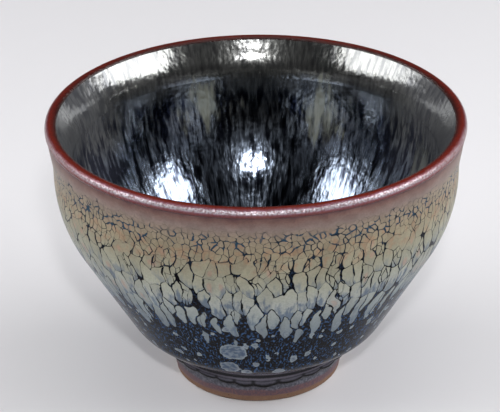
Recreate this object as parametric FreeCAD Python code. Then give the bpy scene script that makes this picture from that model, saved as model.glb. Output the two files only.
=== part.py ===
import FreeCAD, Part
import math
import os

# A small tenmoku tea bowl: thrown stoneware with a turned foot, under its fired coats.
# The mouth is up (+Z), and the origin is the centre of the foot's resting face. Millimetres.

# The whole bowl
mouth_radius = 44.0           # widest circle, round the glazed lip
bowl_height = 59.2            # resting face to the top of the glazed lip

# Clay body: foot
foot_radius = 17.8            # outside of the foot ring, just over its bevel
foot_flare = 0.6              # its outer wall leans out this much up to the shoulder
foot_height = 8.8             # resting face to where the shoulder starts
foot_ring_width = 4.0         # width of the ring, bevels included
foot_bevel = 0.5              # worn bevel along both edges of the resting face
recess_depth = 3.2            # the foot is cut shallow inside
recess_cone = 0.4             # the turned recess swells down to a point this much lower

# Clay body: wall and lip
shoulder_reach = 7.3          # how far the turned shoulder runs out from the foot
shoulder_rise = 4.1           # how much it climbs on the way
shoulder_round = 11.0         # rounding between the shoulder and the straight side
waist_inset = 1.95            # the waist under the lip is this much inside the mouth's radius
waist_drop = 7.9              # the waist leans out to the lip from this far under the lip's centre
waist_length = 10.5           # upright stretch down to where the straight side would meet it
waist_round = 30.0            # rounding between the straight side and the waist
flare_round = 20.0            # rounding between the waist and the lean out to the lip
lip_clay_radius = 0.9         # half the thickness of the clay rim
lip_bevel_angle = 60.0        # where the bevels reach the rim's flat top, in degrees from level
wall_thickness = 3.25         # clay at the waist, where the wall is a ridge inside
inner_flare_drop = 4.9        # inside, the wall leans out from this far under the lip's centre
inner_flare_round = 12.0      # rounding between that lean and the ridge
inner_waist_length = 15.4     # upright stretch down to where the inner side would meet it
inner_waist_round = 38.0      # rounding between them
floor_thickness = 5.8         # clay between the recess's edge and the bottom of the well
well_radius = 18.2            # where the inner side would meet the well's floor
well_rise = 0.6               # the floor climbs this much on its way there
well_round = 16.0             # rounding between the floor and the side

# Fired coats
lip_glaze_thickness = 0.4     # thin iron-red coat over the lip
lip_glaze_drop = 0.3          # how far it reaches down inside from the lip's centre
crease_angle = 35.0           # where it ends outside, in degrees under the lip's widest circle
glaze_thickness = 0.5         # outer coat at the waist, where it ran thin
shoulder_glaze_thickness = 1.15  # outer coat on the shoulder
roll_thickness = 1.25         # outer coat where it gathered in a roll round the foot
neck_round = 0.8              # rounding between the roll and the shoulder's coat
roll_bottom = 6.1             # lower edge of the roll, at the cusps between its tears
roll_length = 1.3             # stretch of the roll above that edge
tear_depth = 0.45             # how far the longest tears hang below the cusps
tear_count = 26               # tears round the roll
front_sag = 0.8               # the whole roll ran down this much further at the front
sag_sharpness = 25            # how quickly that dies away to both sides
inner_glaze_thickness = 0.5   # liner coat on the wall
well_glaze_thickness = 1.1    # liner coat where the side runs into the well
pool_thickness = 1.5          # liner coat where it pooled at the centre
slip_thickness = 0.15         # iron slip brushed round the foot
slip_bottom = 1.6             # bare clay shows under this height
slip_cover = 1.2              # the roll hides this much of the slip's top

# The roll's lower part, row by row from the coat above down and in under its edge
roll_out_shares = [1.0, 1.0, 1.12, 1.22, 0.92, 0.3, -0.4, -0.9]    # of its thickness, from the foot out
roll_rise_shares = [1.0, 0.7, 0.4, 0.05, -0.2, -0.2, 0.0, 0.15]    # of its length, from its edge up
hang_shares = [0.0, 0.0, 0.4, 1.0, 1.0, 1.0, 1.0, 0.0]             # of each tear's depth
tear_width_shares = [0.50, 0.28]   # how unevenly the tears are spaced, in waves round the foot
tear_width_waves = [3, 7]
tear_depth_shares = [0.30, 0.20]   # how unevenly they hang, in waves round the foot
tear_depth_waves = [2, 5]
poles_per_tear = 4                 # control points that shape each tear
degree = 3                         # the roll's surface is a cubic spline both ways

run_share = 0.98                   # two roundings may use up this much of a run between them
full_turn = 360.0                  # degrees

lip_height = bowl_height - lip_clay_radius - lip_glaze_thickness
lip_radius = mouth_radius - lip_clay_radius - lip_glaze_thickness
bead_radius = lip_clay_radius + lip_glaze_thickness
waist_radius = mouth_radius - waist_inset
waist_top = lip_height - waist_drop
waist_bottom = waist_top - waist_length
recess_radius = foot_radius - foot_ring_width
well_height = recess_depth + floor_thickness
neck_radius = foot_radius + foot_flare + roll_thickness
roll_top = roll_bottom + roll_length

centre = FreeCAD.Vector(0, 0, 0)
up = FreeCAD.Vector(0, 0, 1)
outward = FreeCAD.Vector(1, 0, 0)


def at(radius, height):
    """A point of the section, on the bowl's right-hand side."""
    return FreeCAD.Vector(radius, 0, height)


def line(start, end):
    return Part.LineSegment(start, end).toShape()


def at_height(start, end, height):
    """The point at a height on the straight run between two points."""
    return start + (end - start) * ((height - start.z) / (end.z - start.z))


def turned(edges):
    """The solid that a closed section makes when it is turned once round the axis."""
    section = Part.Face(Part.Wire(Part.__sortEdges__(edges)))
    return section.revolve(centre, up, full_turn)


def tangent_reach(before, corner, after, rounding):
    """Distance from a corner to where its rounding starts, and the tangent of its half turn."""
    half_turn = (corner - before).getAngle(after - corner) / 2
    return rounding * math.tan(half_turn), math.tan(half_turn)


def rounded(points, roundings):
    """Straight runs between the points, with an arc at each corner, as a list of edges."""
    count = len(roundings)
    reaches = [tangent_reach(*points[i:i + 3], roundings[i]) for i in range(count)]
    wanted = [0] + [reach for reach, slope in reaches] + [0]
    runs = [points[i].distanceToPoint(points[i + 1]) * run_share for i in range(count + 1)]
    fits = [min(1, run / max(wanted[i] + wanted[i + 1], run)) for i, run in enumerate(runs)]
    edges, last = [], points[0]
    for i in range(count):
        before, corner, after = points[i:i + 3]
        reach = wanted[i + 1] * min(fits[i], fits[i + 1])
        back = (before - corner).normalize()
        on = (after - corner).normalize()
        start, end = corner + back * reach, corner + on * reach
        middle = (back + on).normalize()
        radius = reach / reaches[i][1]
        depth = math.hypot(radius, reach) - radius
        edges.append(line(last, start))
        edges.append(Part.Arc(start, corner + middle * depth, end).toShape())
        last = end
    return edges + [line(last, points[-1])]


def coated(points, depths, side):
    """The corners of a rising path moved square to its runs: side 1 is outwards, -1 is inwards."""
    moved = []
    for i, depth in enumerate(depths):
        first = (points[i + 1] - points[i]).normalize()
        second = (points[i + 2] - points[i + 1]).normalize()
        normals = at(first.z + second.z, -first.x - second.x)
        moved.append(points[i + 1] + normals * (side * depth / (1 + first.dot(second))))
    return moved


def lip_touch(point, radius, side):
    """Where a straight run from a point touches a round of the lip: side 1 outside, -1 inside."""
    middle = at(lip_radius, lip_height)
    apart = point.distanceToPoint(middle)
    angle = math.atan2(middle.z - point.z, middle.x - point.x) - side * math.asin(radius / apart)
    reach = math.sqrt(apart * apart - radius * radius)
    return point + at(math.cos(angle), math.sin(angle)) * reach


def outside_points():
    """Corners of the clay's outside, from the foot's bevel up to the lip."""
    foot_top = at(foot_radius + foot_flare, foot_height)
    shoulder = foot_top + at(shoulder_reach, shoulder_rise)
    waist = [at(waist_radius, waist_bottom), at(waist_radius, waist_top)]
    lip = lip_touch(waist[1], lip_clay_radius, 1)
    return [at(foot_radius, foot_bevel), foot_top, shoulder] + waist + [lip]


def inside_points():
    """Corners of the clay's inside, from the well's centre up to the lip."""
    radius = waist_radius - wall_thickness
    flare_height = lip_height - inner_flare_drop
    waist = [at(radius, flare_height - inner_waist_length), at(radius, flare_height)]
    well = [at(0, well_height), at(well_radius, well_height + well_rise)]
    return well + waist + [lip_touch(waist[1], lip_clay_radius, -1)]


def clay_outside():
    """The clay's outside: a sharp foot and waist top, and rounds at the shoulder and the waist."""
    points = outside_points()
    foot, flare = line(points[0], points[1]), line(points[-2], points[-1])
    return [foot] + rounded(points[1:-1], [shoulder_round, waist_round]) + [flare]


def clay_inside():
    return rounded(inside_points(), [well_round, inner_waist_round, inner_flare_round])


def clay_lip():
    """The clay's rim under its coat, bevelled along both edges."""
    middle = at(lip_radius, lip_height)
    bevel = math.radians(lip_bevel_angle)
    top = [middle + at(side * math.cos(bevel), math.sin(bevel)) * lip_clay_radius for side in (1, -1)]
    corners = [outside_points()[-1]] + top + [inside_points()[-1]]
    return [line(start, end) for start, end in zip(corners, corners[1:])]


def stoneware_body():
    """The thrown and turned clay: foot ring, shallow recess, wall and bevelled rim."""
    corners = [
        at(0, well_height), at(0, recess_depth - recess_cone), at(recess_radius, recess_depth),
        at(recess_radius, foot_bevel), at(recess_radius + foot_bevel, 0),
        at(foot_radius - foot_bevel, 0), at(foot_radius, foot_bevel),
    ]
    foot = [line(start, end) for start, end in zip(corners, corners[1:])]
    return turned(foot + clay_outside() + clay_lip() + clay_inside())


def crease_points():
    """The crease on the glazed lip, and the clay level with it."""
    angle = math.radians(crease_angle)
    crease = at(lip_radius, lip_height) + at(math.cos(angle), -math.sin(angle)) * bead_radius
    waist, lip = outside_points()[-2:]
    return crease, at_height(waist, lip, crease.z)


def liner_points():
    """Corners of the liner's surface, from the pool's centre up to the lip."""
    depths = [well_glaze_thickness, inner_glaze_thickness, inner_glaze_thickness]
    corners = coated(inside_points(), depths, -1)
    return [at(0, well_height + pool_thickness)] + corners + [lip_touch(corners[-1], bead_radius, -1)]


def inner_seam():
    """Where the lip's coat meets the liner: on the liner's surface, and on the clay."""
    height = lip_height - lip_glaze_drop
    surface, clay = liner_points(), inside_points()
    return at_height(surface[-2], surface[-1], height), at_height(clay[-2], clay[-1], height)


def inner_glaze():
    """The liner: even on the wall, pooled in the well."""
    surface_seam, clay_seam = inner_seam()
    surface = liner_points()
    clay = clay_inside()
    skin = rounded(surface[:-1] + [surface_seam], [well_round, inner_waist_round, inner_flare_round])
    clay[-1] = line(clay[-1].Vertexes[0].Point, clay_seam)
    ends = [line(surface_seam, clay_seam), line(inside_points()[0], surface[0])]
    return turned(skin + clay + ends)


def lip_glaze():
    """The thin coat from the crease outside, over the lip, to the liner's edge inside."""
    crease, clay_crease = crease_points()
    surface_seam, clay_seam = inner_seam()
    clay_out, clay_in = outside_points()[-1], inside_points()[-1]
    skin_in = liner_points()[-1]
    bead = Part.Arc(crease, at(lip_radius, bowl_height), skin_in).toShape()
    skin = [bead, line(skin_in, surface_seam), line(surface_seam, clay_seam)]
    clay = [line(clay_seam, clay_in), line(clay_out, clay_crease), line(clay_crease, crease)]
    return turned(skin + clay + clay_lip())


def foot_side(height):
    """The clay's outside at a height on the foot."""
    foot, foot_top = outside_points()[:2]
    return at_height(foot, foot_top, height)


def foot_slip():
    """The thin band of iron slip round the foot, from bare clay up to under the roll."""
    low, high = foot_side(slip_bottom), foot_side(roll_bottom + slip_cover)
    skin = outward * slip_thickness
    corners = [low, low + skin, high + skin, high]
    return turned([line(start, end) for start, end in zip(corners, corners[1:] + corners[:1])])


def coat_on_wall():
    """The outer coat above the roll's tears, from the crease down to the roll's straight stretch."""
    crease, clay_crease = crease_points()
    clay = clay_outside()
    points = outside_points()
    corners = coated(points[1:], [shoulder_glaze_thickness, glaze_thickness, glaze_thickness], 1)
    along = (points[2] - points[1]).normalize()
    under = points[1] + at(along.z, -along.x) * shoulder_glaze_thickness
    neck = under + along * ((neck_radius - under.x) / along.x)
    start = at(neck_radius, roll_top)
    skin = rounded([start, neck] + corners + [crease], [neck_round, shoulder_round, waist_round, flare_round])
    foot = foot_side(roll_top)
    clay[0] = line(foot, clay[0].Vertexes[1].Point)
    clay[-1] = line(clay[-1].Vertexes[0].Point, clay_crease)
    return turned(skin + [line(crease, clay_crease)] + clay + [line(foot, start)])


def tear(angle):
    """How far the roll hangs at an angle: rounded tears with cusps between, lowest at the front."""
    sag = front_sag * ((1 - math.sin(angle)) / 2) ** sag_sharpness
    phase = angle * tear_count / 2
    hang = 1
    for share, waves in zip(tear_width_shares, tear_width_waves):
        phase += share * math.sin(waves * angle)
    for share, waves in zip(tear_depth_shares, tear_depth_waves):
        hang -= share * (1 + math.sin(waves * angle + share)) / 2
    return sag + tear_depth * hang * abs(math.cos(phase))


def roll_surface():
    """The roll's skin: its section carried round the foot and pulled down into tears."""
    around = tear_count * poles_per_tear
    turn = math.tau / around
    widen = 3 / (2 + math.cos(turn))     # control points lie this much outside a smooth circle
    poles = []
    for number in range(around):
        angle = number * turn
        spoke = FreeCAD.Vector(math.cos(angle), math.sin(angle), 0)
        column = []
        for out, rise, hang in zip(roll_out_shares, roll_rise_shares, hang_shares):
            reach = foot_radius + foot_flare + roll_thickness * out
            height = roll_bottom + roll_length * rise - tear(angle) * hang
            column.append(spoke * (reach * widen) + up * height)
        poles.append(column)
    inner_knots = len(hang_shares) - degree - 1
    around_knots, down_knots = list(range(around + 1)), list(range(inner_knots + 2))
    down_repeats = [degree + 1] + [1] * inner_knots + [degree + 1]
    surface = Part.BSplineSurface()
    surface.buildFromPolesMultsKnots(
        poles, [1] * (around + 1), down_repeats, around_knots, down_knots, True, False, degree, degree)
    return surface


def roll(slip):
    """The lower part of the roll, torn along its edge, seated on the foot and its slip."""
    surface = roll_surface()
    bounds = surface.bounds()
    ends = [Part.Face(Part.Wire(surface.vIso(limit).toShape())) for limit in bounds[2:]]
    shell = Part.makeShell([surface.toShape()] + ends)
    shell.sewShape()
    foot, foot_top = foot_side(slip_bottom), outside_points()[1]
    corners = [at(0, foot.z), foot, foot_top, at(0, foot_top.z)]
    core = turned([line(start, end) for start, end in zip(corners, corners[1:] + corners[:1])])
    return Part.makeSolid(shell).cut(core).cut(slip)


def outer_glaze(slip):
    """The oil-spot coat: thin at the waist, thick on the shoulder, torn along the roll."""
    return coat_on_wall().fuse(roll(slip)).removeSplitter()


slip = foot_slip()
pieces = {
    "stoneware_body": stoneware_body(),
    "foot_slip": slip,
    "outer_glaze": outer_glaze(slip),
    "lip_glaze": lip_glaze(),
    "inner_glaze": inner_glaze(),
}

os.makedirs("parts", exist_ok=True)
for name, shape in pieces.items():
    solid = shape.Solids[0]
    box = shape.BoundBox
    print(name, "solids", len(shape.Solids), "volume", round(shape.Volume, 1), "valid", shape.isValid(),
          "radius", round(box.XMax, 2), "height", round(box.ZMin, 2), "to", round(box.ZMax, 2))
    solid.exportStep("parts/" + name + ".step")
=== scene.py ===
# %% [markdown]
# # A small tenmoku tea bowl
#
# The bowl is thrown stoneware with a turned foot, fired once under iron-rich coats. Outside, bubbles of
# oxygen left spots of silvery iron crystals in the glaze, and the spots ran together into cells.
# The CAD model gives every size and place. This script adds the finish: each coat is a surface worked out
# on a grid, with a material that follows the way the glaze ran.

# %% Frame
import math
import bpy
import numpy as np
from mathutils import Matrix, Vector


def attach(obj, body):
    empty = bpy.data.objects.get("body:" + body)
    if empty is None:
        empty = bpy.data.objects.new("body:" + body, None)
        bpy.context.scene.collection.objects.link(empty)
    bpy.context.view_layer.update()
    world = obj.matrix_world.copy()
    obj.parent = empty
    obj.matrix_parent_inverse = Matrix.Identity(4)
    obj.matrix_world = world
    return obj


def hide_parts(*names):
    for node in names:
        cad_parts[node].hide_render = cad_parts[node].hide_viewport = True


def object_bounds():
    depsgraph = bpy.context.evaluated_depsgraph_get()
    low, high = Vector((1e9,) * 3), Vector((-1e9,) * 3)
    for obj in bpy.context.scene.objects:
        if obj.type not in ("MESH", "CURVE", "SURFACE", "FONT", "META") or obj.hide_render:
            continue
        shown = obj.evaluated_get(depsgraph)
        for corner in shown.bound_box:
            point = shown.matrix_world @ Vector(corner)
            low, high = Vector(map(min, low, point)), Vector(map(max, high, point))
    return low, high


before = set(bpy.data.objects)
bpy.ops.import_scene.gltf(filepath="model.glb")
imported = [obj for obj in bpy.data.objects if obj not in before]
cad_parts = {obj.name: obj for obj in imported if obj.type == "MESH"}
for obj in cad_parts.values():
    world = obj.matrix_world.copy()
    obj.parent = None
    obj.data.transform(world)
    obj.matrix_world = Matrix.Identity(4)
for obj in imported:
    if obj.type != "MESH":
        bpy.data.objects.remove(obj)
cad_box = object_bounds()
mm = 0.001
mouth_radius = cad_box[1].x / mm
bowl_height = cad_box[1].z / mm
print("mouth radius", round(mouth_radius, 2), "mm, height", round(bowl_height, 2), "mm")

# %% [markdown]
# ## Camera
# A pinhole camera was fitted to the lip, the foot and the silhouette of the photographed bowl. It stands half
# a metre off and looks down at 27 degrees. The lens follows from the focal length in pixels and the width of
# the picture, and a small roll turns the picture's level.

# %% Camera
picture_width = 500
focal_pixels = 2352.7
camera_distance = 500 * mm
camera_elevation = math.radians(26.95)
camera_roll = math.radians(-0.66)
aim = Vector((-1.4 * mm, 0, 37.84 * mm))

back = Vector((0, -math.cos(camera_elevation), math.sin(camera_elevation)))
level_right, level_up = Vector((1, 0, 0)), Vector((0, math.sin(camera_elevation), math.cos(camera_elevation)))
right = level_right * math.cos(camera_roll) + level_up * math.sin(camera_roll)
up = level_up * math.cos(camera_roll) - level_right * math.sin(camera_roll)
camera = bpy.data.objects.new("camera", bpy.data.cameras.new("camera"))
camera.data.lens = focal_pixels * camera.data.sensor_width / picture_width
camera.data.clip_start = 10 * mm
turned = Matrix((right, up, back)).transposed().to_4x4()
camera.matrix_world = Matrix.Translation(aim + back * camera_distance) @ turned
bpy.context.scene.collection.objects.link(camera)
bpy.context.scene.camera = camera
bpy.context.scene.view_settings.view_transform = "Standard"
print("lens", round(camera.data.lens, 1), "mm")

# %% [markdown]
# ## Nodes and colours
# Every material is a tree of nodes, and one function adds them all. Its text is the node's kind and, after a
# space, the setting that matters most: "Math ADD" is a sum, "MapRange SMOOTHSTEP" is a soft step from 0 at
# the first limit to 1 at the second, "Mix" goes from one number to another, and "Mix RGBA" from one colour to
# another. "TexNoise" at scale s has lumps about 1 / s across, and "Attribute" reads what the mesh stores.
# Colours are written as sRGB hex, the way a picture shows them, and are turned into linear light.

# %% Node helpers
main_setting = {"Math": "operation", "VectorMath": "operation", "MapRange": "interpolation_type",
                "Mix": "data_type", "TexVoronoi": "feature", "Attribute": "attribute_name"}


def add(tree, kind, *inputs, stops=(), **others):
    """Add a node: its kind and main setting, its inputs in order, any colour stops, and the rest by name.

    An input is a number, a hex colour, a socket to link, or a node, which stands for its first output. Among
    the others a capital marks one more input, such as Scale, and the rest are the node's own settings."""
    kind, _, choice = kind.partition(" ")
    made = tree.nodes.new("ShaderNode" + kind)
    settings = {name: value for name, value in others.items() if name[0].islower()}
    if choice:
        settings[main_setting[kind]] = choice
    for name, value in settings.items():
        setattr(made, name, value)
    shown = [socket for socket in made.inputs if socket.enabled]
    named = [(made.inputs[name.replace("_", " ")], others[name]) for name in others if name not in settings]
    for socket, value in [*zip(shown, inputs), *named]:
        if isinstance(value, bpy.types.Node):
            value = next(output for output in value.outputs if output.enabled)
        if isinstance(value, bpy.types.NodeSocket):
            tree.links.new(value, socket)
        else:
            socket.default_value = linear(value) if isinstance(value, str) else value
    for number, (place, colour) in enumerate(stops):
        elements = made.color_ramp.elements
        if number >= len(elements):
            elements.new(1.0)
        elements[number].position, elements[number].color = place, linear(colour)
    return made


def linear(code):
    """Linear RGBA of an sRGB hex colour: each part is ((c + 0.055) / 1.055) ** 2.4, or c / 12.92 if dark."""
    parts = [int(code[i:i + 2], 16) / 255 for i in (1, 3, 5)]
    return [c / 12.92 if c <= 0.04045 else ((c + 0.055) / 1.055) ** 2.4 for c in parts] + [1.0]


def new_material(name):
    """A material with no nodes yet, and its tree."""
    material = bpy.data.materials.new(name)
    material.use_nodes = True
    tree = material.node_tree
    tree.nodes.clear()
    return material, tree


def glaze_shader(tree, colour, roughness, relief=None, depth=0.05, **more):
    """The surface itself. A relief, in units of depth mm, tilts its normals as small bumps do."""
    if relief is not None:
        more["Normal"] = add(tree, "Bump", Height=relief, Distance=depth * mm, Strength=1.0)
    shader = add(tree, "BsdfPrincipled", colour, Roughness=roughness, **more)
    add(tree, "OutputMaterial", shader)


def bearings(tree):
    """The place on the bowl in mm, its height and radius, and the direction straight out."""
    place = add(tree, "VectorMath SCALE", add(tree, "TexCoord").outputs["Object"], 1 / mm)
    height = add(tree, "SeparateXYZ", place).outputs["Z"]
    flat = add(tree, "VectorMath MULTIPLY", place, (1, 1, 0))
    radius = add(tree, "VectorMath LENGTH", flat)
    out = add(tree, "VectorMath NORMALIZE", flat)
    return place, height, radius, out


def round_and_down(tree, out, across, down):
    """Places on a cylinder: across units to each radian round the bowl, and down as its height."""
    spread = add(tree, "CombineXYZ", across, across)
    rise = add(tree, "CombineXYZ", Z=down)
    return add(tree, "VectorMath MULTIPLY_ADD", out, spread, rise)


# %% [markdown]
# ## Floor and light
# The bowl stands on a plain pale sweep. Two wide panels at the sides give most of the light: each fills the
# other's shadow, and they are the pale patches on the black inside. A compact light over the camera makes the
# star in the bowl and the bright line along the lip, where a paler band of painted highlight adds to it. The
# room is dark behind the camera, so the rest of the inside stays black but for patches of painted reflection.

# %% Floor
floor_radius, floor_sides = 3.0, 96
angles = np.linspace(0, math.tau, floor_sides, endpoint=False)
rim = np.stack([np.cos(angles), np.sin(angles), 0 * angles], 1) * floor_radius
floor_mesh = bpy.data.meshes.new("floor")
floor_mesh.from_pydata(rim.tolist(), [], [list(range(len(rim)))])
floor = bpy.data.objects.new("floor", floor_mesh)
bpy.context.scene.collection.objects.link(floor)

paper, tree = new_material("matt_white_paper")
glaze_shader(tree, "#DEDDE0", 0.9, Specular_IOR_Level=0.2)
floor_mesh.materials.append(paper)


# %% Lights
def soft_light(name, azimuth, elevation, distance, size, power):
    """A white panel facing the bowl, in degrees, metres and watts. Azimuth 0 is over the camera, 90 right."""
    lamp = bpy.data.lights.new(name, "AREA")
    lamp.shape, lamp.size, lamp.size_y = "RECTANGLE", size[0], size[1]
    lamp.energy = power
    made = bpy.data.objects.new(name, lamp)
    a, e = math.radians(azimuth), math.radians(elevation)
    away = Vector((math.sin(a) * math.cos(e), -math.cos(a) * math.cos(e), math.sin(e)))
    made.location = Vector((0, 0, bowl_height * mm / 2)) + away * distance
    made.rotation_euler = away.to_track_quat("Z", "Y").to_euler()
    bpy.context.scene.collection.objects.link(made)


soft_light("overhead", 0, 88, 0.9, (0.8, 0.8), 2.2)
soft_light("beside_camera", 2, 36, 0.6, (0.035, 0.035), 1.3)
soft_light("panel_right", 92, 33, 0.6, (0.62, 0.26), 3.4)
soft_light("panel_left", -92, 33, 0.6, (0.62, 0.26), 2.6)

world = bpy.data.worlds.new("studio")
bpy.context.scene.world = world
world.use_nodes = True
tree = world.node_tree
tree.nodes.clear()
direction = add(tree, "SeparateXYZ", add(tree, "TexCoord").outputs["Generated"])
behind = add(tree, "MapRange SMOOTHSTEP", direction.outputs["Y"], -0.45, -0.1)
walls = add(tree, "Mix RGBA", behind, "#18181A", "#4C4C4E")
add(tree, "OutputWorld", add(tree, "Background", walls, 1.0))

# %% [markdown]
# ## Outlines
# Potters cut a profile with a rib and a turning tool, so each outline here is a few straight runs with a
# round at each corner. Points are (radius, height) in millimetres. The rounds are arcs tangent to both runs.
# The outline is then divided evenly, so that the grid that is turned from it has cells of one size.

# %% Outline helpers
def rounded(corners, radii, arc_points=24):
    """Runs with a tangent arc at each inner corner, which starts radius * tan(turn / 2) before the corner."""
    corners = [np.array(corner, float) for corner in corners]
    path = [corners[0]]
    for before, corner, after, radius in zip(corners, corners[1:], corners[2:], radii):
        back_on = (before - corner) / np.linalg.norm(before - corner)
        on = (after - corner) / np.linalg.norm(after - corner)
        half = (math.pi - math.acos(np.clip(back_on @ on, -1, 1))) / 2
        reach = radius * math.tan(half)
        inward = (back_on + on) / np.linalg.norm(back_on + on)
        centre = corner + inward * math.hypot(radius, reach)
        start, end = corner + back_on * reach - centre, corner + on * reach - centre
        share = np.linspace(0, 1, arc_points)[:, None]
        arc = (np.sin((1 - share) * 2 * half) * start + np.sin(share * 2 * half) * end) / math.sin(2 * half)
        path.extend(centre + arc)
    return np.array(path + [corners[-1]])


def lengths(path):
    """How far along the path each of its points lies."""
    return np.concatenate([[0], np.cumsum(np.linalg.norm(np.diff(path, axis=0), axis=1))])


def evenly(path, count):
    """The same outline in a number of points the same distance apart along it."""
    path = np.array(path, float)
    along = lengths(path)
    wanted = np.linspace(0, along[-1], count)
    return np.stack([np.interp(wanted, along, path[:, i]) for i in range(2)], 1)


def cut_corners(points, times):
    """Round off a row of points: each run keeps its middle half, over and over, and the ends stay."""
    for _ in range(times):
        first, second = points[:-1], points[1:]
        halves = np.stack([0.75 * first + 0.25 * second, 0.25 * first + 0.75 * second], 1)
        points = np.concatenate([points[:1], halves.reshape(-1, points.shape[1]), points[-1:]])
    return points


# %% [markdown]
# ## Turned surfaces
# An outline turned round the axis is a grid: rows follow the outline and columns go round, from the back of
# the bowl. Outlines run clockwise round their coat, so the faces look outward. The map "OFBake" packs the
# grid into tiles with no overlap, and hidden rows get little room on it.

# %% Turned surface
def turned_grid(radius, height, columns):
    """Turn rows of radius and height once round the axis: x = r cos a, y = r sin a, z = height."""
    turn = column_angles(columns)
    return np.stack(np.broadcast_arrays(radius * np.cos(turn), radius * np.sin(turn), height), 2)


def column_angles(columns):
    """The angle of each column, anticlockwise from the right. The first column is at the back."""
    return np.linspace(0, math.tau, columns, endpoint=False) + math.pi / 2


def grid_object(name, grid, weights, tiles, values=None, ring=True):
    """A closed mesh from a grid in mm: columns join round, and rows join too, or end on the axis."""
    rows, columns = grid.shape[:2]
    index = np.arange(rows * columns).reshape(rows, columns)
    if not ring:
        index[0], index[-1] = index[0, 0], index[-1, 0]
    row, column = np.meshgrid(np.arange(rows if ring else rows - 1), np.arange(columns), indexing="ij")
    row, column = row.ravel(), column.ravel()
    steps = [(0, 0), (1, 0), (1, 1), (0, 1)]
    corners = np.stack([index[(row + i) % rows, (column + j) % columns] for i, j in steps], 1)

    lengths_down = np.linalg.norm(np.diff(grid[:, 0], axis=0, append=grid[:1, 0]), axis=1)
    packed = np.concatenate([[0], np.cumsum(lengths_down * weights)])
    packed /= packed[-1 if ring else -2]
    share, gap = columns // (tiles[0] * tiles[1]), 0.004        # columns in a tile, and the margin round it
    tile = column // share
    across = [(column % share + j) / share for i, j in steps]
    local = np.stack([np.stack([across[k], packed[row + i]], 1) for k, (i, j) in enumerate(steps)], 1)
    place = np.stack([tile % tiles[0], tile // tiles[0]], 1)[:, None]
    bake = (place + gap + local * (1 - 2 * gap)) / np.array(tiles)

    first, last = (row == 0) & (not ring), (row == rows - 2) & (not ring)
    keeps = [(first, [0, 1, 2]), (last, [0, 1, 3]), (~(first | last), [0, 1, 2, 3])]
    used, order = np.unique(corners, return_inverse=True)
    corners = order.reshape(corners.shape)
    faces = [face for chosen, keep in keeps for face in corners[chosen][:, keep].tolist()]
    mesh = bpy.data.meshes.new(name)
    mesh.from_pydata((grid.reshape(-1, 3)[used] * mm).tolist(), [], faces)
    mesh.polygons.foreach_set("use_smooth", np.ones(len(faces), bool))
    layer = mesh.uv_layers.new(name="OFBake")
    spread = [bake[chosen][:, keep].reshape(-1, 2) for chosen, keep in keeps]
    layer.data.foreach_set("uv", np.concatenate(spread).astype(np.float32).ravel())
    for label, numbers in (values or {}).items():
        numbers = np.broadcast_to(numbers, (rows, columns)).ravel()[used]
        mesh.attributes.new(label, "FLOAT", "POINT").data.foreach_set("value", numbers.astype(np.float32))
    mesh.set_sharp_from_angle(angle=math.radians(40))
    made = bpy.data.objects.new(name, mesh)
    bpy.context.scene.collection.objects.link(made)
    mesh.calc_loop_triangles()
    print(name, len(mesh.loop_triangles), "triangles")
    return made


def finish_piece(piece, node_name, material):
    """Give a piece its material, and let it stand for its CAD node."""
    piece.data.materials.append(material)
    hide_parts(node_name)
    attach(piece, "root")


# %% [markdown]
# ## The bowl's outlines
# The sizes are the CAD model's. The lip is a round bead, the waist under it leans out to meet it, the
# straight side runs down to a tight shoulder, and the coat gathers in an upright roll above the foot.

# %% Sizes outside
bead_radius = 1.3
bead = np.array([mouth_radius - bead_radius, bowl_height - bead_radius])
crease_angle = -35
skin_waist, skin_waist_top, skin_waist_bottom = 42.57, 50.0, 39.5
shoulder_corner = (26.4, 11.95)
neck_radius, neck_height = 19.65, 8.1
skin_rounds = [20, 30, 11, 0.8]
foot_radius, foot_flare, foot_height, foot_bevel = 17.8, 0.6, 8.8, 0.5
foot_ring_width, recess_depth, recess_cone = 4.0, 3.2, 0.4
roll_thickness, roll_bottom, roll_length = 1.25, 6.1, 1.3
slip_thickness, slip_bottom, slip_top = 0.15, 1.6, 7.3


def on_bead(angles):
    """Points on the lip's bead, at angles in degrees up from straight out."""
    turn = np.radians(angles)
    return bead + bead_radius * np.stack([np.cos(turn), np.sin(turn)], -1)


crease = on_bead(crease_angle)
wall = rounded(
    [crease, (skin_waist, skin_waist_top), (skin_waist, skin_waist_bottom), shoulder_corner,
     (neck_radius, neck_height), (neck_radius, roll_bottom + roll_length)], skin_rounds)
print("outside", round(lengths(wall)[-1], 1), "mm from the crease to the roll")

# %% Sizes inside
flare_corner, inner_waist_bottom = np.array([38.3, 53.0]), 37.6
well_corner, pool_height = (17.2, 10.9), 10.5
inside_rounds = [16, 38, 12]


def bead_touch(point, centre, radius):
    """Where the line from a point touches the inner side of a round, and that place's angle in degrees."""
    apart = centre - point
    reach = math.sqrt(apart @ apart - radius * radius)
    angle = math.atan2(apart[1], apart[0]) + math.asin(radius / math.hypot(*apart))
    place = point + reach * np.array([math.cos(angle), math.sin(angle)])
    return place, math.degrees(math.atan2(*(place - centre)[::-1]))


inner_lip, inner_lip_angle = bead_touch(flare_corner, bead, bead_radius)
inside = rounded(
    [(0, pool_height), well_corner, (flare_corner[0], inner_waist_bottom), flare_corner,
     inner_lip], inside_rounds)
print("the inner wall meets the bead at", round(inner_lip_angle), "degrees")

# %% [markdown]
# ## Oil-spot coat: shape
# The coat ran down and gathered round the foot, where it tore into rounded tears with cusps between. The
# tears follow the CAD model's formula. Above them the outline is simply turned.

# %% Outer coat's shape
tear_depth, tear_count = 0.45, 26
front_sag, sag_sharpness = 0.8, 25
tear_spacing = [(3, 0.50), (7, 0.28)]
tear_hang = [(2, 0.30, 0.30), (5, 0.20, 0.20)]
lobe_swell = 0.12
wall_rows, roll_cuts, back_rows, outer_columns = 122, 2, 14, 560


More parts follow.
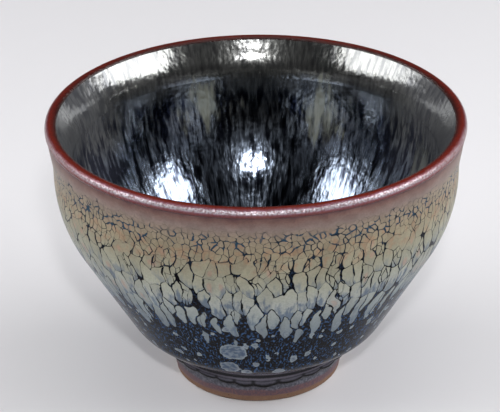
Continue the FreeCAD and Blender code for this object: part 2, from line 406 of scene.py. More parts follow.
def tear(angle):
    """How far the roll hangs: a sag at the front, and |cos| of an uneven phase for the tears.

    Slow waves, each with its count round the foot and its share, make the spacing and the depth uneven."""
    sag = front_sag * ((1 - np.sin(angle)) / 2) ** sag_sharpness
    phase = angle * tear_count / 2 + sum(share * np.sin(waves * angle) for waves, share in tear_spacing)
    hang = 1 - sum(share * (1 + np.sin(waves * angle + shift)) / 2 for waves, share, shift in tear_hang)
    return sag + tear_depth * hang * np.abs(np.cos(phase)), np.abs(np.cos(phase))


turn = column_angles(outer_columns)
hang, lobe = tear(turn)
wall_skin = evenly(wall, wall_rows)
out_shares = [1.0, 1.0, 1.12, 1.22, 0.92, 0.3, -0.4, -0.9]
rise_shares = [1.0, 0.7, 0.4, 0.05, -0.2, -0.2, 0.0, 0.15]
hang_shares = [0.0, 0.0, 0.4, 1.0, 1.0, 1.0, 1.0, 0.0]
roll_places = [0.0, 0.25, 0.5, 0.8, 1.0, 1.2, 1.4, 1.6]
roll = cut_corners(np.stack([out_shares, rise_shares, hang_shares, roll_places], 1), roll_cuts)[1:]
coat_back = evenly(
    [(foot_radius, roll_bottom + 1), (foot_radius, foot_height + 0.4), (25.4, 13.0), (40.6, 38.0),
     (41.6, 50.0), crease - (0.4, 0.1)], back_rows)

roll_radius = foot_radius + foot_flare + roll_thickness * roll[:, :1] + lobe_swell * roll[:, 2:3] * lobe
roll_height = roll_bottom + roll_length * roll[:, 1:2] - hang * roll[:, 2:3]
above_roll = roll_bottom + roll_length - wall_skin[:, 1]
on_roll = np.concatenate([above_roll, roll[:, 3], np.full(back_rows, roll_places[-1])])[:, None]
shared = np.ones(outer_columns)
radius = np.concatenate([wall_skin[:, :1] * shared, roll_radius, coat_back[:, :1] * shared])
height = np.concatenate([wall_skin[:, 1:] * shared, roll_height, coat_back[:, 1:] * shared])
outer_grid = turned_grid(radius, height, outer_columns)
print("grid", outer_grid.shape, "tears hang", hang.min().round(2), "to", hang.max().round(2), "mm")

# %% [markdown]
# ## Oil-spot coat: where the spots are
# High on the wall the cells are small. Further down they are taller, because the glaze ran. Near the foot the
# spots stay single. Each row of the grid stores how many cells lie above it, which is the sum of the steps
# down divided by the height of a cell there. Each point also stores how deep inside a single spot it lies, in
# mm. on_roll is the place along the roll's section: below 0 is the wall, 0 to 1 is the roll's face, and more
# is under it. lobe is 1 in the middle of a tear and 0 in the cusp between two.

# %% Cells and spots
down = lengths(np.stack([radius[:, 0], height[:, 0]], 1))[:, None]
cell_height = np.interp(down, [0, 5, 9, 14, 20, 28], [1.1, 1.2, 1.7, 2.4, 3.8, 5.5])
steps_down = np.diff(down[:, 0]) / ((cell_height[1:, 0] + cell_height[:-1, 0]) / 2)
cells_down = np.concatenate([[0], np.cumsum(steps_down)])[:, None]

# Degrees right of the front, height, half width and half height of the largest spots at the front, in mm
front_spots = [
    (-9.6, 20.0, 2.85, 3.1), (-12.4, 14.2, 2.2, 2.4), (9.0, 12.6, 1.4, 1.5), (-5.4, 12.6, 1.3, 1.3),
    (-1.1, 22.5, 0.8, 1.2), (-4.5, 22.4, 0.6, 1.0), (3.7, 17.9, 0.7, 1.0), (6.6, 19.5, 0.65, 1.0),
    (-1.3, 15.8, 0.8, 0.9), (14.0, 17.0, 0.85, 1.3), (19.9, 18.0, 0.55, 1.1), (-34.0, 16.5, 1.0, 0.9)]

# The others are scattered over the foot's side of the wall, clear of each other and of the front
spot_count, lowest_spot, spot_range, crowding = 215, 12.6, 15.5, 0.8
half_widths, their_odds = [0.3, 0.45, 0.6, 0.8, 1.3], [0.3, 0.3, 0.22, 0.14, 0.04]
mm_per_degree, clear_gap, tallness = 0.5, 0.5, 1.2
kept_clear_angle, kept_clear_height = 20, 22
first_spot_row, far_from_spots = 60, -3.0


def round_off(degrees):
    """The same angle from -180 to 180 degrees."""
    return (degrees + 180) % 360 - 180


random = np.random.default_rng(7)
spots = [((angle - 90) % 360, level, wide, tall) for angle, level, wide, tall in front_spots]
while len(spots) < spot_count:
    angle, level = random.uniform(0, 360), lowest_spot + spot_range * random.uniform() ** crowding
    wide = random.choice(half_widths, p=their_odds)
    apart = [math.hypot(round_off(angle - a) * mm_per_degree, level - b) - tallness * c - wide
             for a, b, c, _ in spots]
    front = abs(round_off(angle + 90)) < kept_clear_angle and level < kept_clear_height
    if min(apart) > clear_gap and not front:
        spots.append((angle, level, wide, wide * random.uniform(1.0, 1.7)))

depth_in_spot = np.full(radius.shape, far_from_spots)
near = slice(first_spot_row, wall_rows)
for angle, level, wide, tall in spots:
    spot_down = np.interp(-level, -wall_skin[:, 1], down[:wall_rows, 0])
    off = (turn - math.radians(angle) + math.pi) % math.tau - math.pi
    reach = np.hypot(off * radius[near] / wide, (down[near] - spot_down) / tall)
    depth_in_spot[near] = np.maximum(depth_in_spot[near], (1 - reach) * min(wide, tall))
weights = np.where(np.arange(len(radius)) < len(radius) - back_rows, 1.0, 0.05)
stored = {"cells_down": cells_down, "cell_height": cell_height, "spot_depth": depth_in_spot,
          "on_roll": on_roll, "lobe": lobe}
outer = grid_object("outer_glaze_skin", outer_grid, weights, (2, 2), stored)

# %% [markdown]
# ## Oil-spot coat: finish
# The cells are a Voronoi pattern, laid flat on the unrolled bowl: every place belongs to its nearest seed,
# and a dark vein runs where the two nearest seeds are equally far. With d1 and d2 the distances to them and s
# the distance between the seeds, the border is (d2^2 - d1^2) / (2 s) away. That is counted in cells, and
# cells are taller than wide, so it is divided by how fast it changes along a millimetre of the surface. The
# far corners of a cell are cut off at a set distance from its seed, which makes it round, as a bubble's spot
# is.

# %% Cell pattern
def unrolled(tree, place, height, cells_down, count, rows_share, wander):
    """Places on the unrolled bowl, counted in cells. It is cut open at the back, along a wandering line."""
    parts = add(tree, "SeparateXYZ", place)
    angle = add(tree, "Math ARCTAN2", parts.outputs["X"],
                add(tree, "Math MULTIPLY", parts.outputs["Y"], -1.0))
    level = add(tree, "CombineXYZ", Z=height)
    sway = add(tree, "Math MULTIPLY", add(tree, "TexNoise", level, 0.08, 1.0), 0.016)
    share = add(tree, "Math ADD", add(tree, "Math DIVIDE", angle, math.tau), 0.492)
    turned = add(tree, "Math FRACT", add(tree, "Math ADD", share, sway))
    to_cut = add(tree, "Math MINIMUM", turned, add(tree, "Math SUBTRACT", 1.0, turned))
    cells_round = add(tree, "Math MULTIPLY", turned, count)
    rows_down = add(tree, "Math DIVIDE", cells_down, rows_share)
    flat = add(tree, "CombineXYZ", cells_round, rows_down)
    for scale, reach in wander:
        push = add(tree, "TexNoise", place, scale, 1.0).outputs["Color"]
        push = add(tree, "VectorMath SUBTRACT", push, (0.5, 0.5, 0.5))
        flat = add(tree, "VectorMath MULTIPLY_ADD", push, (reach, 0.6 * reach, 0), flat)
    return flat, to_cut


def cell_pattern(tree, flat, wide, tall):
    """Each place's cell: the distance in mm to its nearest vein, how upright that vein is (0 is level, 1 is
    upright), the cell's three random numbers, how far its seed is in cells, how unlike the neighbour over the
    vein is, and how far under the seed the place lies in cells."""
    first, second = [add(tree, "TexVoronoi " + feature, flat, 1.0, Randomness=0.8, voronoi_dimensions="2D")
                     for feature in ("F1", "F2")]
    apart = add(tree, "VectorMath SUBTRACT", second.outputs["Position"], first.outputs["Position"])
    size = add(tree, "Math MAXIMUM", add(tree, "VectorMath LENGTH", apart), 0.001)
    near, far = [add(tree, "Math MULTIPLY", seed.outputs["Distance"], seed.outputs["Distance"])
                 for seed in (first, second)]
    border = add(tree, "Math DIVIDE", add(tree, "Math SUBTRACT", far, near),
                 add(tree, "Math MULTIPLY", size, 2.0))
    parts = add(tree, "SeparateXYZ", apart)
    sideways = add(tree, "Math DIVIDE", add(tree, "Math DIVIDE", parts.outputs["X"], wide), size)
    downways = add(tree, "Math DIVIDE", add(tree, "Math DIVIDE", parts.outputs["Y"], tall), size)
    squares = [add(tree, "Math MULTIPLY", part, part) for part in (sideways, downways)]
    slope = add(tree, "Math SQRT", add(tree, "Math ADD", *squares))
    gap = add(tree, "Math DIVIDE", border, slope)
    upright = add(tree, "Math DIVIDE", add(tree, "Math ABSOLUTE", sideways), slope)
    chance = add(tree, "SeparateXYZ", first.outputs["Color"]).outputs
    other = add(tree, "SeparateXYZ", second.outputs["Color"]).outputs
    unlike = add(tree, "Math ABSOLUTE", add(tree, "Math SUBTRACT", chance[0], other[0]))
    from_seed = add(tree, "VectorMath SUBTRACT", flat, first.outputs["Position"])
    below = add(tree, "SeparateXYZ", from_seed).outputs["Y"]
    return gap, upright, list(chance), first.outputs["Distance"], unlike, below


# %% Oil-spot finish
def oil_spot_finish():
    """Silvery crystal cells on navy glass: mauve at the top, then beige, grey-green, blue-grey and spots."""
    material, tree = new_material("oil_spot_tenmoku_glaze")
    place, height, radius, out = bearings(tree)
    cells_down = add(tree, "Attribute cells_down").outputs["Fac"]
    cell_height = add(tree, "Attribute cell_height").outputs["Fac"]
    spot_depth = add(tree, "Attribute spot_depth").outputs["Fac"]
    drift = add(tree, "TexNoise", place, 0.35, 2.0)             # lumps 3 mm across
    grain = add(tree, "TexNoise", place, 2.6, 2.0)              # crystals 0.4 mm across

    # 104 large cells go round, each 2.6 mm wide at the waist. Some are divided into cells half as wide.
    large_count, small_count, large_rows = 104, 200, 1.6
    wander = [(0.16, 0.9), (0.4, 0.48), (0.9, 0.06)]
    flat, _ = unrolled(tree, place, height, cells_down, large_count, large_rows, wander)
    wide = add(tree, "Math MULTIPLY", radius, math.tau / large_count)
    tall = add(tree, "Math MULTIPLY", cell_height, large_rows)
    large, upright, chance, core, unlike, below = cell_pattern(tree, flat, wide, tall)
    wander = [(0.2, 1.0), (0.7, 0.35), (1.6, 0.08)]
    flat, to_cut = unrolled(tree, place, height, cells_down, small_count, 1.0, wander)
    small_wide = add(tree, "Math MULTIPLY", radius, math.tau / small_count)
    small, small_upright, small_chance, small_core, small_unlike, _ = cell_pattern(
        tree, flat, small_wide, cell_height)

    # Veins: the upright ones are wide channels, the level ones are thin. Like neighbours have run together.
    uneven = add(tree, "Mix", add(tree, "MapRange SMOOTHSTEP", drift, 0.35, 0.68), 0.55, 1.8)
    width = add(tree, "Math MULTIPLY",
                add(tree, "Mix", add(tree, "Math POWER", upright, 2.0), 0.06, 0.125), uneven)
    lower = add(tree, "Math ADD", height,
                add(tree, "Math MULTIPLY", add(tree, "Math SUBTRACT", chance[0], 0.5), 7.0))
    low = add(tree, "Math MAXIMUM", add(tree, "Math SUBTRACT", 32.0, lower), 0.0)
    width = add(tree, "Math ADD", width, add(tree, "Math MULTIPLY", low, 0.015))
    band = add(tree, "Math MULTIPLY", add(tree, "MapRange SMOOTHSTEP", height, 48.5, 50.5),
               add(tree, "MapRange SMOOTHSTEP", height, 54.0, 52.5))
    cluster = add(tree, "Math MULTIPLY", band,
                  add(tree, "MapRange SMOOTHSTEP", add(tree, "TexNoise", place, 0.5, 1.0), 0.46, 0.58))
    width = add(tree, "Math ADD", width, add(tree, "Math MULTIPLY", cluster, 0.08))
    seed_height = add(tree, "Math ADD", height, add(tree, "Math MULTIPLY", below, tall))
    top_share = add(tree, "MapRange SMOOTHSTEP", seed_height, 44.5, 49.0)
    divided_all = add(tree, "MapRange SMOOTHSTEP", top_share, 0.7, 0.9)
    reach = add(tree, "Math SUBTRACT", add(tree, "Mix", chance[1], 0.64, 0.88),
                add(tree, "Math MULTIPLY", low, 0.085))
    reach = add(tree, "Math ADD", reach, add(tree, "Math MULTIPLY", divided_all, 3.0))
    tip = add(tree, "Math MULTIPLY", add(tree, "Math SUBTRACT", reach, core), wide)
    run_together = add(tree, "Math MULTIPLY", add(tree, "MapRange SMOOTHSTEP", unlike, 0.05, 0.03),
                       add(tree, "MapRange SMOOTHSTEP", height, 31.0, 35.0))
    run_together = add(tree, "Math MULTIPLY", add(tree, "Math MAXIMUM", run_together, divided_all), 3.0)
    gap = add(tree, "Math ADD", add(tree, "Math SUBTRACT", large, width), run_together)
    gap = add(tree, "Math SMOOTH_MIN", gap, tip, 0.5)
    open_large = add(tree, "MapRange SMOOTHSTEP", gap, -0.09, 0.03)

    # Whether a cell is divided goes by the height of its seed, so that the whole cell agrees.
    on_waist = add(tree, "MapRange SMOOTHSTEP", seed_height, 35.0, 43.0)
    divided_share = add(tree, "Math ADD", add(tree, "Mix", on_waist, 0.04, 0.2), top_share)
    divided = add(tree, "Math LESS_THAN", chance[0], divided_share)
    thin = add(tree, "Math MULTIPLY", add(tree, "Mix", small_upright, 0.05, 0.09), uneven)
    thin = add(tree, "Math ADD", thin, add(tree, "Math MULTIPLY", cluster, 0.13))
    small_reach = add(tree, "Math SUBTRACT", add(tree, "Mix", small_chance[1], 0.6, 0.84),
                      add(tree, "Math MULTIPLY", cluster, 0.12))
    small_tip = add(tree, "Math MULTIPLY", add(tree, "Math SUBTRACT", small_reach, small_core), small_wide)
    faint = add(tree, "Math MULTIPLY", add(tree, "MapRange SMOOTHSTEP", small_unlike, 0.15, 0.05), 0.8)
    small_edge = add(tree, "Math SMOOTH_MIN", add(tree, "Math SUBTRACT", small, thin), small_tip, 0.3)
    open_small = add(tree, "MapRange SMOOTHSTEP", add(tree, "Math SMOOTH_MIN", small_edge, gap, 0.35),
                     -0.08, 0.03)
    whole = add(tree, "Math SUBTRACT", 1.0, divided)
    open_small = add(tree, "Math MAXIMUM", open_small, add(tree, "Math MAXIMUM", faint, whole))
    cut_width = add(tree, "Math SUBTRACT",
                    add(tree, "Math MULTIPLY", to_cut, add(tree, "Math MULTIPLY", radius, math.tau)), 0.14)
    open_cut = add(tree, "MapRange SMOOTHSTEP", cut_width, -0.04, 0.06)

    # The veins start a little under the lip, unevenly, and single spots take over near the foot.
    start = add(tree, "Math ADD", height,
                add(tree, "Math MULTIPLY", add(tree, "Math SUBTRACT", drift, 0.5), 7.0))
    faded = add(tree, "MapRange SMOOTHSTEP", start, 52.4, 54.4)
    cell = add(tree, "Math MINIMUM", add(tree, "Math MINIMUM", open_large, open_small), open_cut)
    cell = add(tree, "Math MAXIMUM", cell, faded)
    wobble = add(tree, "Math MULTIPLY",
                 add(tree, "Math SUBTRACT", add(tree, "TexNoise", place, 0.6, 2.0), 0.5), 1.9)
    spot_depth = add(tree, "Math ADD", spot_depth, wobble)
    spot = add(tree, "MapRange SMOOTHSTEP", spot_depth, -0.04, 0.1)
    cell = add(tree, "Math MAXIMUM", cell, spot)

    # Colour of the crystals by height
    level = add(tree, "Math DIVIDE",
                add(tree, "Math ADD", height, add(tree, "Math MULTIPLY", drift, 2.0)), 60.0)
    crystal = add(tree, "ValToRGB", level, stops=[
        (0.20, "#7F7F84"), (0.33, "#66747F"), (0.45, "#717C84"), (0.53, "#858E8E"), (0.61, "#9CA09A"),
        (0.68, "#999A8B"), (0.75, "#918E7A"), (0.83, "#8D826B"), (0.89, "#8A7D6B"), (0.925, "#81706A"),
        (0.955, "#72564F"), (0.98, "#4A272F")])
    tint = add(tree, "Mix", chance[2], 0.88, 1.08)
    tint = add(tree, "Math MULTIPLY", tint, add(tree, "Mix", small_chance[0], 0.94, 1.05))
    tint = add(tree, "Math MULTIPLY", tint,
               add(tree, "Mix", add(tree, "MapRange SMOOTHSTEP", grain, 0.2, 0.8), 0.9, 1.1))
    warm = add(tree, "Math MULTIPLY", add(tree, "MapRange SMOOTHSTEP", height, 42.0, 47.0),
               add(tree, "MapRange SMOOTHSTEP", height, 54.0, 51.0))
    warm = add(tree, "Math MULTIPLY", warm,
               add(tree, "MapRange SMOOTHSTEP", add(tree, "TexNoise", place, 0.5, 2.0), 0.45, 0.66))
    crystal = add(tree, "Mix RGBA", add(tree, "Math MULTIPLY", warm, 0.55), crystal, "#97745A")
    blush = add(tree, "Math MULTIPLY", add(tree, "MapRange SMOOTHSTEP", core, 0.3, 0.1),
                add(tree, "MapRange SMOOTHSTEP", chance[1], 0.72, 0.74))
    blush = add(tree, "Math MULTIPLY", blush, add(tree, "MapRange SMOOTHSTEP", height, 30.0, 36.0))
    blush = add(tree, "Math MULTIPLY", blush, add(tree, "MapRange SMOOTHSTEP", height, 50.0, 46.0))
    crystal = add(tree, "Mix RGBA", add(tree, "Math MULTIPLY", blush, 0.5), crystal, "#A98576")
    flow = round_and_down(tree, out, 40.0, add(tree, "Math MULTIPLY", height, 0.4))
    streak = add(tree, "TexNoise", flow, 1.1, 3.0)
    blue = add(tree, "Math MULTIPLY", add(tree, "MapRange SMOOTHSTEP", height, 22.0, 28.0),
               add(tree, "MapRange SMOOTHSTEP", height, 45.0, 37.0))
    sunk = add(tree, "Math ADD", streak, add(tree, "Math MULTIPLY", below, 0.35))
    blue = add(tree, "Math MULTIPLY", blue, add(tree, "MapRange SMOOTHSTEP", sunk, 0.5, 0.74))
    crystal = add(tree, "Mix RGBA", add(tree, "Math MULTIPLY", blue, 0.8), crystal, "#465A72")
    crystal = add(tree, "Mix RGBA", add(tree, "Math MULTIPLY", spot, 0.6), crystal, "#8A9499")
    mottle = add(tree, "MapRange SMOOTHSTEP", add(tree, "TexNoise", place, 1.3, 4.0), 0.42, 0.58)
    deep = add(tree, "Math MULTIPLY", add(tree, "MapRange SMOOTHSTEP", spot_depth, 0.1, 0.7),
               add(tree, "Mix", mottle, 0.35, 1.0))
    crystal = add(tree, "Mix RGBA", add(tree, "Math MULTIPLY", deep, 0.9), crystal, "#263F5E")
    grey = add(tree, "CombineColor", tint, tint, tint)
    crystal = add(tree, "Mix RGBA", 1.0, crystal, grey, blend_type="MULTIPLY")

    # Navy glass between them, with fine blue crystals drawn out by the flow
    fine_flow = round_and_down(tree, out, 34.0, add(tree, "Math MULTIPLY", height, 0.6))
    fleck = add(tree, "MapRange SMOOTHSTEP", add(tree, "TexNoise", fine_flow, 2.4, 2.0), 0.5, 0.68)
    fleck = add(tree, "Math MULTIPLY", fleck,
                add(tree, "Mix", add(tree, "MapRange SMOOTHSTEP", height, 38.0, 29.0), 0.25, 0.9))
    glass = add(tree, "Mix RGBA", fleck, "#0B0B10", "#37547A")
    glass = add(tree, "Mix RGBA", add(tree, "MapRange SMOOTHSTEP", height, 42.0, 50.0), glass, "#1E2834")
    glass = add(tree, "Mix RGBA", cluster, glass, "#2B4254")

    # It gathers clouded purple-grey round the foot, with painted shade and painted highlight on the roll.
    ragged = add(tree, "Math MULTIPLY", add(tree, "Math SUBTRACT", grain, 0.5), 0.1)
    on_roll = add(tree, "Math ADD", add(tree, "Attribute on_roll").outputs["Fac"], ragged)
    place_on_roll = add(tree, "Math DIVIDE", add(tree, "Math ADD", on_roll, 4.0), 6.0)
    # Painted highlight: the pale band where the belly turns into the neck, and the lighter ridges of the
    # roll. Painted shade: the dark neck, and the black under the tears, partly dark pooled glass.
    roll = add(tree, "ValToRGB", place_on_roll, stops=[
        (0.0, "#4C4851"), (0.5, "#6A6670"), (0.583, "#78747F"), (0.633, "#2A282E"), (0.70, "#222126"),
        (0.717, "#6A6671"), (0.733, "#5A5762"), (0.743, "#302F36"), (0.758, "#55535E"), (0.773, "#3C3A43"),
        (0.783, "#09090B")])
    # Painted shade in the cusps between the tears.
    painted_cusp_shade = add(tree, "Math MULTIPLY",
               add(tree, "MapRange SMOOTHSTEP", add(tree, "Attribute lobe").outputs["Fac"], 0.5, 0.1),
               add(tree, "MapRange SMOOTHSTEP", on_roll, 0.38, 0.5))
    roll = add(tree, "Mix RGBA", add(tree, "Math MULTIPLY", painted_cusp_shade, 0.85), roll, "#0E0E11")
    gathered = add(tree, "MapRange SMOOTHSTEP",
                   add(tree, "Math ADD", height, add(tree, "Math MULTIPLY", drift, 2.0)), 14.0, 11.5)
    glass = add(tree, "Mix RGBA", gathered, glass, roll)
    colour = add(tree, "Mix RGBA", cell, glass, crystal)

    roughness = add(tree, "Mix", cell, 0.2, 0.42)
    relief = add(tree, "Math ADD", add(tree, "Math MULTIPLY", cell, 0.25),
                 add(tree, "Math MULTIPLY", grain, 0.5))
    shine = add(tree, "Math ADD", add(tree, "Mix", cell, 0.035, 0.22),
                add(tree, "Math MULTIPLY", gathered, 0.155))
    glaze_shader(tree, colour, roughness, relief, 0.05, Specular_IOR_Level=shine)
    return material


finish_piece(outer, "outer_glaze", oil_spot_finish())

# %% [markdown]
# ## Lip
# The coat ran thin over the lip and fired iron-red. It is amber where it is thinnest, along the outer edge,
# and its fine grain breaks up the highlight. On the outer face a lilac metallic sheen is painted paler where
# the compact light is mirrored and stronger towards the front: painted highlight. Each row stores the angle
# at
# which it faces: 0 is straight out and 90 is up.

# %% Lip
lip_rows, lip_back_rows = 34, 6
lip_angles = np.linspace(inner_lip_angle + 24, crease_angle, lip_rows)
lip_skin = on_bead(lip_angles)
lip_back = evenly([bead + (0.5, -0.6), bead + (-0.7, -0.4)], lip_back_rows)
section = np.concatenate([lip_skin, lip_back])
facing = np.concatenate([lip_angles, np.full(lip_back_rows, crease_angle)])[:, None]
weights = np.where(np.arange(len(section)) < lip_rows, 1.0, 0.1)
grid = turned_grid(section[:, :1], section[:, 1:], outer_columns)
lip = grid_object("lip_glaze_skin", grid, weights, (1, 7), {"facing": facing})


def iron_red_finish():
    """Thin tenmoku over the lip: red-brown, amber outside, nearly black where it meets the liner."""
    material, tree = new_material("iron_red_tenmoku_lip")
    place, _, _, out = bearings(tree)
    facing = add(tree, "Attribute facing").outputs["Fac"]
    grain = add(tree, "TexNoise", place, 2.4, 3.0)              # grain 0.4 mm across
    drift = add(tree, "TexNoise", place, 0.25, 2.0)
    moved = add(tree, "Math ADD", facing,
                add(tree, "Math MULTIPLY", add(tree, "Math SUBTRACT", drift, 0.5), 30.0))
    share = add(tree, "Math DIVIDE", add(tree, "Math ADD", moved, 40.0), 220.0)
    colour = add(tree, "ValToRGB", share, stops=[
        (0.02, "#3A0F10"), (0.10, "#582328"), (0.20, "#6B3323"), (0.29, "#681C10"), (0.55, "#5E180E"),
        (0.75, "#3C0E08"), (0.88, "#180808")])
    # Outside, lilac crystals give a metallic sheen, partly painted highlight, which the grain breaks up. The
    # top is plain glass.
    sheen = add(tree, "MapRange SMOOTHSTEP", moved, 72.0, 44.0)
    sheen = add(tree, "Math MULTIPLY", sheen,
                add(tree, "Mix", add(tree, "MapRange SMOOTHSTEP", grain, 0.38, 0.6), 0.4, 1.0))
    sheen = add(tree, "Math MULTIPLY", sheen, add(tree, "MapRange SMOOTHSTEP", facing, -12.0, 10.0))
    # Painted highlight: the sheen is stronger towards the front, on the side of the compact light.
    painted_front_highlight = add(tree, "MapRange SMOOTHSTEP", add(tree, "SeparateXYZ", out).outputs["Y"], -0.45, -0.9)
    sheen = add(tree, "Math MULTIPLY", sheen, add(tree, "Mix", painted_front_highlight, 0.5, 1.0))
    # Painted highlight: the colour is paler in the band where the compact light is mirrored.
    middle = add(tree, "Math MULTIPLY", add(tree, "MapRange SMOOTHSTEP", facing, 2.0, 16.0),
                 add(tree, "MapRange SMOOTHSTEP", moved, 54.0, 36.0))
    lilac_and_painted_highlight = add(tree, "Mix RGBA", middle, "#8A5C6E", "#C0B8C0")
    colour = add(tree, "Mix RGBA", sheen, colour, lilac_and_painted_highlight)
    relief = add(tree, "Math ADD", grain, add(tree, "TexNoise", place, 0.9, 1.0))
    roughness = add(tree, "Mix", sheen, 0.26, 0.36)
    metal = add(tree, "Math MULTIPLY", sheen, 0.7)
    glaze_shader(tree, colour, roughness, relief, 0.14, Metallic=metal, Specular_IOR_Level=0.35)
    return material


finish_piece(lip, "lip_glaze", iron_red_finish())

# %% [markdown]
# ## Liner
# The inside is black glass with fine silvery streaks that ran down the wall. They show where a light is
# mirrored in them, and melt together in the pool at the bottom. Dull olive patches and a grey haze at the
# left and right sides are painted reflection of the pale room and the side panels, and under the lip the thin
# coat is a little milky. The glass has a slight orange-peel, which breaks the star of the compact light into
# specks.

# %% Liner
inner_rows, inner_back_rows, inner_columns = 130, 14, 512
inner_skin = evenly(inside, inner_rows)
inner_back = evenly([(42.3, 57.0), (39.4, 50), (39.0, 37.6), (17.6, 9.9), (0, 9.3)], inner_back_rows)
section = np.concatenate([inner_skin, inner_back])
weights = np.where(np.arange(len(section)) < inner_rows, 1.0, 0.05)

# Olive patches of painted reflection on the wall: degrees right of the back, height, half width and half
# height in mm
reflection_patches = [(23, 45, 6.5, 8.0), (-17, 45, 7.0, 6.0), (75, 40, 5.0, 8.0), (-105, 43, 7.0, 6.0),
          (150, 41, 6.0, 7.0)]
far_from_reflection_patches = -3.0
reflection_patch_depth = np.full((len(section), inner_columns), far_from_reflection_patches)
for angle, level, wide, tall in reflection_patches:
    off = (column_angles(inner_columns) - math.radians(90 - angle) + math.pi) % math.tau - math.pi
    reach = np.hypot(off * section[:, :1] / wide, (section[:, 1:] - level) / tall)
    reflection_patch_depth = np.maximum(reflection_patch_depth, 1 - reach)
stored = {"up_wall": lengths(section)[:, None], "cloud": reflection_patch_depth}
grid = turned_grid(section[:, :1], section[:, 1:], inner_columns)
inner = grid_object("inner_glaze_skin", grid, weights, (2, 2), stored, ring=False)


def streaked_black_finish():
    """Black tenmoku glass with silver-blue streaks down the wall."""
    material, tree = new_material("streaked_black_tenmoku_glaze")
    place, height, radius, out = bearings(tree)
    up_wall = add(tree, "Attribute up_wall").outputs["Fac"]
    # At most 1.8 units to a mm round the bowl, so that the streaks don't narrow to a star in the pool
    across = add(tree, "Math MINIMUM", add(tree, "Math MULTIPLY", radius, 1.8), 38.0)
    flow = round_and_down(tree, out, across, add(tree, "Math MULTIPLY", up_wall, 0.22))
    streaks = add(tree, "TexNoise", flow, 0.9, 4.0)             # 1 mm wide and 5 mm long
    fine = add(tree, "TexNoise", flow, 2.4, 2.0)
    patches = add(tree, "TexNoise", place, 0.12, 2.0)           # 8 mm across
    top = add(tree, "MapRange SMOOTHSTEP", height, 46.0, 51.0)
    middle = add(tree, "Math MULTIPLY", add(tree, "MapRange SMOOTHSTEP", height, 22.0, 28.0),
                 add(tree, "MapRange SMOOTHSTEP", height, 38.0, 34.0))
    more = add(tree, "Math ADD", add(tree, "Math MULTIPLY", top, 0.08),
               add(tree, "Math MULTIPLY", middle, 0.08))
    silver = add(tree, "Math ADD", add(tree, "Math ADD", streaks, more),
                 add(tree, "Math MULTIPLY", patches, 0.5))
    silver = add(tree, "MapRange SMOOTHSTEP", silver, 0.64, 0.9)
    silver = add(tree, "Math MULTIPLY", silver,
                 add(tree, "Mix", add(tree, "MapRange SMOOTHSTEP", fine, 0.35, 0.6), 0.45, 1.0))
    silver = add(tree, "Mix", add(tree, "Math MULTIPLY", top, 0.55), silver, 0.75)
    # on_wall is 0 in the pool, where the streaks melt together.
    on_wall = add(tree, "MapRange SMOOTHSTEP", radius, 11.0, 19.0)
    pooled = add(tree, "Mix", add(tree, "MapRange SMOOTHSTEP", patches, 0.35, 0.65), 0.05, 0.18)
    silver = add(tree, "Mix", on_wall, pooled, silver)
    crystal = add(tree, "Mix RGBA",
                  add(tree, "MapRange SMOOTHSTEP", height, 36.0, 46.0), "#98A4B6", "#999A97")
    colour = add(tree, "Mix RGBA", silver, "#262934", crystal)
    rough = add(tree, "Mix", silver, 0.13, 0.2)
    ragged = add(tree, "Math MULTIPLY",
                 add(tree, "Math SUBTRACT", add(tree, "TexNoise", flow, 0.5, 4.0), 0.5), 3.0)
    # Painted reflection: dull olive patches where the pale room is mirrored.
    cloud = add(tree, "MapRange SMOOTHSTEP",
                add(tree, "Math ADD", add(tree, "Attribute cloud").outputs["Fac"], ragged), 0.0, 0.8)
    colour = add(tree, "Mix RGBA", add(tree, "Math MULTIPLY", cloud, 0.85), colour, "#84867A")
    # Painted reflection: a dull grey haze on the left and right walls, towards the side panels.
    sides = add(tree, "Math ABSOLUTE", add(tree, "SeparateXYZ", out).outputs["X"])
    painted_side_haze = add(tree, "Math MULTIPLY", add(tree, "MapRange SMOOTHSTEP", sides, 0.7, 0.95),
               add(tree, "MapRange SMOOTHSTEP", height, 30.0, 38.0))
    colour = add(tree, "Mix RGBA", add(tree, "Math MULTIPLY", painted_side_haze, 0.5), colour, "#42434F")
    peel = add(tree, "TexNoise",
               round_and_down(tree, out, across, add(tree, "Math MULTIPLY", up_wall, 0.8)), 0.8, 1.0)
    relief = add(tree, "Math ADD", peel, add(tree, "Math MULTIPLY", streaks, 0.25))
    relief = add(tree, "Math MULTIPLY", relief, add(tree, "Mix", on_wall, 0.25, 1.0))
    dull = add(tree, "Math MAXIMUM", add(tree, "Math MULTIPLY", cloud, 0.7),
               add(tree, "Math MULTIPLY", painted_side_haze, 0.5))
    milky = add(tree, "Math MULTIPLY", top, 0.07)
    dull = add(tree, "Math MAXIMUM", dull, milky)
    glaze_shader(tree, colour, rough, relief, 0.068, Metallic=add(tree, "Math SUBTRACT", 1.0, dull))
    return material


finish_piece(inner, "inner_glaze", streaked_black_finish())

# %% [markdown]
# ## Clay body
# Only the foot shows. Its resting ring and shallow recess were cut on the wheel with a turning tool, which
# left fine rings, and the bare clay fired a warm brown.

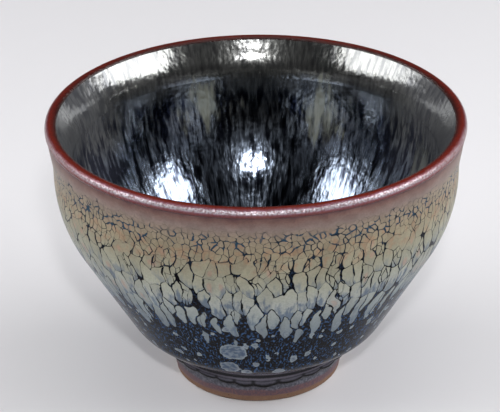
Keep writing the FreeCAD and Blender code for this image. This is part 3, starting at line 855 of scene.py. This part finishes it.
# %% Clay body
body_columns = 320
body_inside = evenly([(0, 9.1), (17.4, 9.6), (39.0, 37.8), (39.3, 50.0), (42.0, 57.4)], 16)
body_outside = evenly(rounded([(43.2, 57.4), (41.8, 50.0), (41.8, 39.4), (25.2, 13.2),
                               (foot_radius + foot_flare, foot_height)], [12, 30, 8]), 26)
ring_inside = foot_radius - foot_ring_width
foot = [(foot_radius + foot_flare, foot_height), (foot_radius, foot_bevel), (foot_radius - foot_bevel, 0),
        (ring_inside + foot_bevel, 0), (ring_inside, foot_bevel), (ring_inside, recess_depth),
        (0, recess_depth - recess_cone)]
foot_counts = [14, 3, 9, 3, 8, 30]
foot_rows = [evenly(ends, count)[1:] for *ends, count in zip(foot, foot[1:], foot_counts)]
section = np.concatenate([body_inside, body_outside] + foot_rows)
hidden_rows = len(body_inside) + len(body_outside)
weights = np.where(np.arange(len(section)) < hidden_rows, 0.05, 1.0)
grid = turned_grid(section[:, :1], section[:, 1:], body_columns)
body = grid_object("stoneware_body_skin", grid, weights, (2, 2), ring=False)


def bare_clay_finish():
    """Bare fired stoneware: warm brown, darker iron specks, and rings from the turning tool."""
    material, tree = new_material("bare_fired_stoneware")
    place, height, radius, _ = bearings(tree)
    grit = add(tree, "TexNoise", place, 1.6, 4.0)
    specks = add(tree, "MapRange SMOOTHSTEP", add(tree, "TexNoise", place, 3.2, 1.0), 0.66, 0.74)
    colour = add(tree, "Mix RGBA", grit, "#6E5344", "#8A6C57")
    colour = add(tree, "Mix RGBA", add(tree, "Math MULTIPLY", specks, 0.6), colour, "#3A2A24")
    ring_place = add(tree, "Math ADD", add(tree, "Math ADD", radius, height),
                     add(tree, "Math MULTIPLY", grit, 0.3))
    ring_apart = 0.7
    rings = add(tree, "Math SINE", add(tree, "Math MULTIPLY", ring_place, math.tau / ring_apart))
    relief = add(tree, "Math ADD", add(tree, "Math MULTIPLY", rings, 0.3), grit)
    glaze_shader(tree, colour, 0.8, relief, 0.08, Specular_IOR_Level=0.3)
    return material


finish_piece(body, "stoneware_body", bare_clay_finish())

# %% [markdown]
# ## Foot slip
# A thin iron wash was brushed round the foot. It fired purple-brown, and the fumes of the glaze left a
# speckled grey-blue band just under the roll.

# %% Foot slip
slip_rows, slip_columns = 26, 400
side = np.array([[foot_radius + foot_flare * (z - foot_bevel) / (foot_height - foot_bevel), z]
                 for z in (slip_top, slip_bottom)])
slip_skin = evenly(side + (slip_thickness, 0), slip_rows)
slip_back = evenly(side[::-1] - (0.2, 0), 6)
section = np.concatenate([slip_skin, slip_back])
weights = np.where(np.arange(len(section)) < slip_rows, 1.0, 0.1)
grid = turned_grid(section[:, :1], section[:, 1:], slip_columns)
slip = grid_object("foot_slip_skin", grid, weights, (1, 8))


def iron_slip_finish():
    """Iron wash: purple-brown below, speckled grey-blue above, with a wavy border between."""
    material, tree = new_material("brushed_iron_slip")
    place, height, _, _ = bearings(tree)
    wave = add(tree, "TexNoise", place, 0.3, 2.0)
    speckle = add(tree, "TexNoise", place, 2.2, 3.0)
    upper = add(tree, "MapRange SMOOTHSTEP",
                add(tree, "Math ADD", height, add(tree, "Math MULTIPLY", wave, 1.0)), 3.3, 3.9)
    speckled = add(tree, "MapRange SMOOTHSTEP", speckle, 0.4, 0.65)
    lower_colour = add(tree, "Mix RGBA", speckled, "#55404A", "#6A4A4C")
    upper_colour = add(tree, "Mix RGBA", speckled, "#3C3D48", "#666772")
    edge = add(tree, "MapRange SMOOTHSTEP",
               add(tree, "Math ADD", height, add(tree, "Math MULTIPLY", wave, 0.8)), 2.4, 1.8)
    colour = add(tree, "Mix RGBA", upper, lower_colour, upper_colour)
    colour = add(tree, "Mix RGBA", edge, colour, "#74584A")
    glaze_shader(tree, colour, 0.5, speckle, 0.06)
    return material


finish_piece(slip, "foot_slip", iron_slip_finish())
